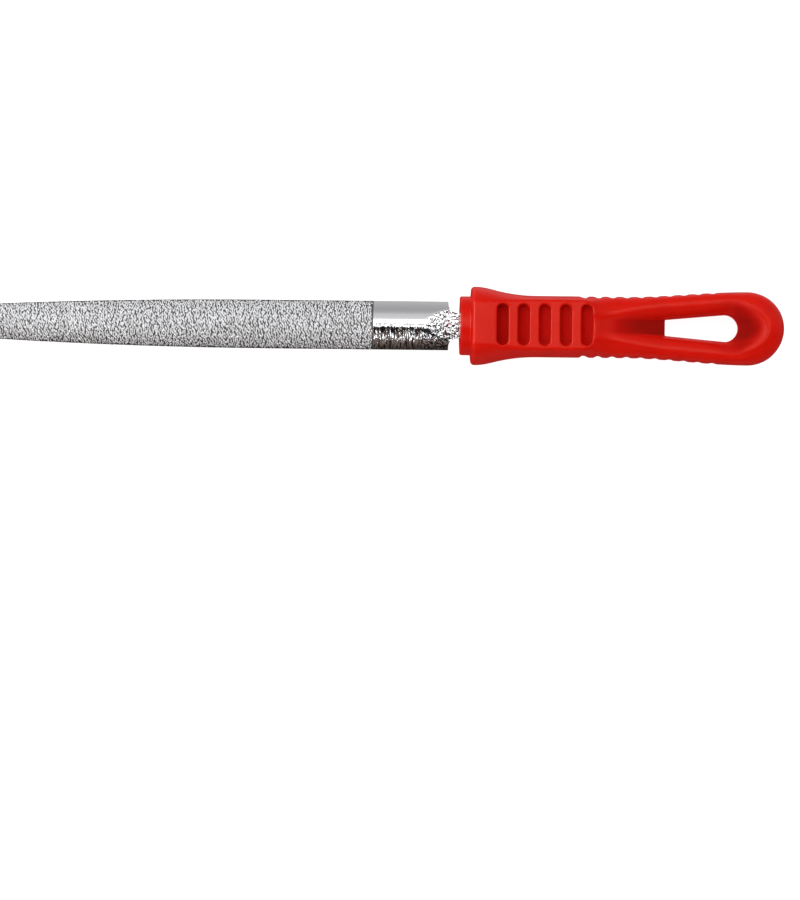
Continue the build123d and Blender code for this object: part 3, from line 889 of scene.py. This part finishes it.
def blade_section(s, distance, columns=40, under_columns=12):
    """The forging's section that far from the shoulder: its outline and how forged each point is."""
    half = plan_half_width(s, distance)
    reach = max(distance, 0.0)
    full, crown = float(blade_half_width(s, reach)), float(blade_crown(s, reach))
    radius = (full**2 + crown**2) / (2 * crown)
    bottom, tang_top = 0.0, s.tang_thickness
    if distance < 0:
        thin = (s.tang_thickness - s.tang_end_thickness) / 2 * min(1.0, -distance / s.tang_length)
        bottom, tang_top = thin, s.tang_thickness - thin
    slope = (s.thickness - s.tang_thickness) / s.cheek
    cheek = tang_top + slope * max(distance, 0.0)
    spread = 1.1  # crowds the columns towards the edges
    places = half * np.sin(np.linspace(spread, -spread, columns)) / math.sin(spread)
    arc = crown - radius + np.sqrt(radius**2 - places**2)
    gap = arc - cheek
    blend = s.cheek_blend
    top = arc - np.where(gap > blend, gap, np.where(gap > -blend, (gap + blend) ** 2 / (4 * blend), 0.0))
    forged = np.clip(0.5 + gap / (2 * blend), 0.0, 1.0) if distance < s.cheek + MM else np.zeros(columns)
    near_cheek = share(s.cheek + s.corner_fade - distance, 0.0, s.corner_fade)
    forged = np.maximum(forged, near_cheek * share(-places, 0.0, s.corner_fade))
    dent_size, evenness, finer, layers = 1.6 * MM, 0.6, 2.0, 3
    spots = [Vector((distance, y, 0)) / dent_size for y in places]
    dents = np.array([noise.fractal(spot, evenness, finer, layers) for spot in spots])
    if distance > s.heel + s.groove_width:
        top = top - s.cut_depth
    elif distance > s.heel:
        top = top - s.groove_depth
    top = np.maximum(top + dents * forged * s.hammer_depth, bottom + s.edge)
    under = np.linspace(-half, half, under_columns)
    outline = [(y, z) for y, z in zip(places, top)]
    outline += [(y, bottom) for y in under]
    worked = list(forged) + [1.0 if distance < 0 else 0.0] * len(under)
    return outline, worked


def make_blade(s):
    """The forging: half-round blade, shoulder, sloping cheek and tang."""
    shoulder_x, flat_z = shoulder_place(s)
    points, worked, cut, faces = [], [], [], []
    rows = blade_rows(s)
    for distance in rows:
        outline, forged = blade_section(s, float(distance))
        points += [(shoulder_x - float(distance), float(y), flat_z + float(z)) for y, z in outline]
        worked += forged
        cut += [float(s.heel < distance)] * len(outline)
    ring = len(points) // len(rows)
    for row, column in itertools.product(range(len(rows) - 1), range(ring)):
        here, there = row * ring, (row + 1) * ring
        after = (column + 1) % ring
        faces.append((here + column, here + after, there + after, there + column))
    faces.append(tuple(range(ring))[::-1])
    faces.append(tuple(range(len(points) - ring, len(points))))
    material = forged_steel(tuple(s.steel), tuple(s.near_flank_painted_dark), tuple(s.gullet_painted_shade))
    blade = new_piece("blade_forging", points, faces, material, "file_steel", "blade")
    sharpest_smooth = math.radians(32)
    blade.data.set_sharp_from_angle(angle=sharpest_smooth)
    for name, values in {"forged": worked, "cut": cut}.items():
        mask = blade.data.attributes.new(name, "FLOAT", "POINT")
        mask.data.foreach_set("value", np.array(values, np.float32))
    return blade


def add_light(name, place, aim, size, power):
    """A rectangular soft light that shines one way."""
    light = bpy.data.lights.new(name, "AREA")
    light.shape, light.size, light.size_y, light.energy = "RECTANGLE", *size, power
    softbox = bpy.data.objects.new(name, light)
    softbox.location = place
    softbox.rotation_euler = aim.to_track_quat("-Z", "Y").to_euler()
    softbox.visible_camera = False
    bpy.context.scene.collection.objects.link(softbox)
    return softbox


# Where the lights stand that aren't overhead. Each of them faces the middle of the file.
BEYOND_POINT = Vector((-0.9, 0.25, 0.6))
HIGH_BEYOND_POINT = Vector((-0.78, 0.3, 0.95))
NEAR_SIDE = Vector((-0.4, -0.83, 0.86))

# The room's greys all round the file's axis, in degrees from straight up towards the far side.
ROOM = (
    (-180, "#303030"), (-100, "#5E524C"), (-62, "#988880"), (-56, "#A0A0A0"), (-34, "#BCBCBC"),
    (-29, "#343434"), (-6, "#282828"), (2, "#CCCCCC"), (28, "#FFFFFF"), (48, "#F2F2F2"),
    (60, "#CCCCCC"), (75, "#C4C4C4"), (130, "#E2E2E2"), (142, "#C8C8C8"), (154, "#383838"), (180, "#181818"))


def make_floor(s):
    """White paper to lay the file on."""
    paper = bpy.data.meshes.new("paper_floor")
    half = s.floor_size / 2
    corners = [(-half, -half, 0), (half, -half, 0), (half, half, 0), (-half, half, 0)]
    paper.from_pydata(corners, [], [(0, 1, 2, 3)])
    paper.materials.append(studio_paper())
    floor = bpy.data.objects.new("paper_floor", paper)
    floor.visible_glossy = False
    bpy.context.scene.collection.objects.link(floor)


def make_lights(s):
    """Two long soft lights overhead and one low on the near side, a small one beyond the blade's point, and
    two that only gloss shows: one makes the key light stronger, one glints in the handle."""
    down = Vector((0, 0, -1))
    over_key, key_size = (0, s.key_depth / 2, s.light_height), (s.key_width, s.key_depth)
    over_edge = (0, s.key_depth + s.edge_depth / 2, s.light_height)
    add_light("key_softbox", over_key, down, key_size, s.key_power)
    add_light("edge_softbox", over_edge, down, (s.edge_width, s.edge_depth), s.edge_power)
    gloss = add_light("gloss_softbox", over_key, down, key_size, s.gloss_power)
    add_light("side_softbox", BEYOND_POINT, -BEYOND_POINT, (s.side_size, s.side_size), s.side_power)
    glint_size = (s.glint_width, s.glint_height)
    glint = add_light("glint_softbox", HIGH_BEYOND_POINT, -HIGH_BEYOND_POINT, glint_size, s.glint_power)
    add_light("low_softbox", NEAR_SIDE, -NEAR_SIDE, (s.low_width, s.low_depth), s.low_power)
    gloss.visible_diffuse = glint.visible_diffuse = False
    plastic = bpy.data.collections.new("glossy_plastic")
    plastic.objects.link(bpy.data.objects["handle_moulding"])
    glint.light_linking.receiver_collection = plastic


def make_room():
    """A grey room that the steel mirrors, behind a plain white backdrop."""
    world = bpy.data.worlds.new("grey_room")
    bpy.context.scene.world = world
    world.use_nodes = True
    tree = world.node_tree
    tree.nodes.clear()
    way = node(tree, "ShaderNodeSeparateXYZ", {0: node(tree, "ShaderNodeTexCoord").outputs["Generated"]})
    turn = node(tree, "ShaderNodeMath", {0: way.outputs["Y"], 1: way.outputs["Z"]}, operation="ARCTAN2")
    spot = node(tree, "ShaderNodeMapRange", {0: turn, 1: -math.pi, 2: math.pi})
    ramp = node(tree, "ShaderNodeValToRGB", {0: spot})
    while len(ramp.color_ramp.elements) < len(ROOM):
        ramp.color_ramp.elements.new(0.5)
    for element, (degrees, grey) in zip(ramp.color_ramp.elements, ROOM):
        element.position = degrees / 360 + 0.5
        element.color = linear(grey)
    light = node(tree, "ShaderNodeBackground", {"Color": ramp, "Strength": 1.0})
    backdrop = node(tree, "ShaderNodeBackground", {"Color": linear("#FAFAFA"), "Strength": 1.0})
    seen = node(tree, "ShaderNodeLightPath").outputs["Is Camera Ray"]
    mixed = node(tree, "ShaderNodeMixShader", {0: seen, 1: light, 2: backdrop})
    node(tree, "ShaderNodeOutputWorld", {"Surface": mixed})


def make_camera(s):
    """A camera that looks straight down."""
    lens = bpy.data.cameras.new("camera")
    lens.lens = s.focal_length
    camera = bpy.data.objects.new("camera", lens)
    middle = (HANDLE_BOX[0].z + HANDLE_BOX[1].z) / 2
    camera.location = (s.camera_x, s.camera_y, middle + s.camera_height)
    camera.rotation_euler = (0.0, 0.0, s.camera_roll)
    bpy.context.scene.collection.objects.link(camera)
    bpy.context.scene.camera = camera


# ---- the add-on ----


class FILE_OT_handle(bpy.types.Operator):
    """Make the moulded plastic handle"""

    bl_idname = "file.make_handle"
    bl_label = "Moulded handle"
    bl_options = {"REGISTER", "UNDO"}

    def execute(self, context):
        make_handle(context.scene.file_handle, context.scene.file_blade)
        return {"FINISHED"}


class FILE_OT_blade(bpy.types.Operator):
    """Make the forged blade with its heel, shoulder and tang"""

    bl_idname = "file.make_blade"
    bl_label = "Forged blade"
    bl_options = {"REGISTER", "UNDO"}

    def execute(self, context):
        make_blade(context.scene.file_blade)
        return {"FINISHED"}


class FILE_OT_teeth(bpy.types.Operator):
    """Cut the teeth on the round side and on the flat side"""

    bl_idname = "file.cut_teeth"
    bl_label = "Cut teeth"
    bl_options = {"REGISTER", "UNDO"}

    def execute(self, context):
        blade, teeth = context.scene.file_blade, context.scene.file_teeth
        random = np.random.default_rng(teeth.seed)
        material = cut_steel(tuple(teeth.dull), tuple(teeth.bright))
        plant_teeth("teeth_round_side", round_side_seats(blade, teeth, random), blade, teeth, material)
        plant_teeth("teeth_flat_side", flat_side_seats(blade, teeth, random), blade, teeth, material)
        return {"FINISHED"}


class FILE_OT_stage(bpy.types.Operator):
    """Lay the paper floor and set the lights, the room and the camera"""

    bl_idname = "file.set_stage"
    bl_label = "Stage"
    bl_options = {"REGISTER", "UNDO"}

    def execute(self, context):
        settings = context.scene.file_stage
        make_floor(settings)
        make_lights(settings)
        make_room()
        make_camera(settings)
        context.scene.view_settings.view_transform = "Standard"
        return {"FINISHED"}


OPERATORS = (FILE_OT_handle, FILE_OT_blade, FILE_OT_teeth, FILE_OT_stage)
SETTINGS = {
    "file_handle": HandleSizes, "file_blade": BladeSizes,
    "file_teeth": TeethSizes, "file_stage": StageSettings}


class FILE_PT_panel(bpy.types.Panel):
    """Lists the file's pieces"""

    bl_idname = "FILE_PT_panel"
    bl_label = "Half-round file"
    bl_space_type = "VIEW_3D"
    bl_region_type = "UI"
    bl_category = "File"

    def draw(self, context):
        for operator in OPERATORS:
            self.layout.operator(operator.bl_idname)


def register():
    for group in SETTINGS.values():
        bpy.utils.register_class(group)
    for name, group in SETTINGS.items():
        setattr(bpy.types.Scene, name, bpy.props.PointerProperty(type=group))
    for kind in (*OPERATORS, FILE_PT_panel):
        bpy.utils.register_class(kind)


def unregister():
    for kind in (FILE_PT_panel, *reversed(OPERATORS)):
        bpy.utils.unregister_class(kind)
    for name, group in SETTINGS.items():
        delattr(bpy.types.Scene, name)
        bpy.utils.unregister_class(group)


def main():
    """Makes the whole file on its stage."""
    register()
    bpy.ops.file.make_handle()
    bpy.ops.file.make_blade()
    bpy.ops.file.cut_teeth()
    bpy.ops.file.set_stage()


if __name__ == "__main__":
    main()
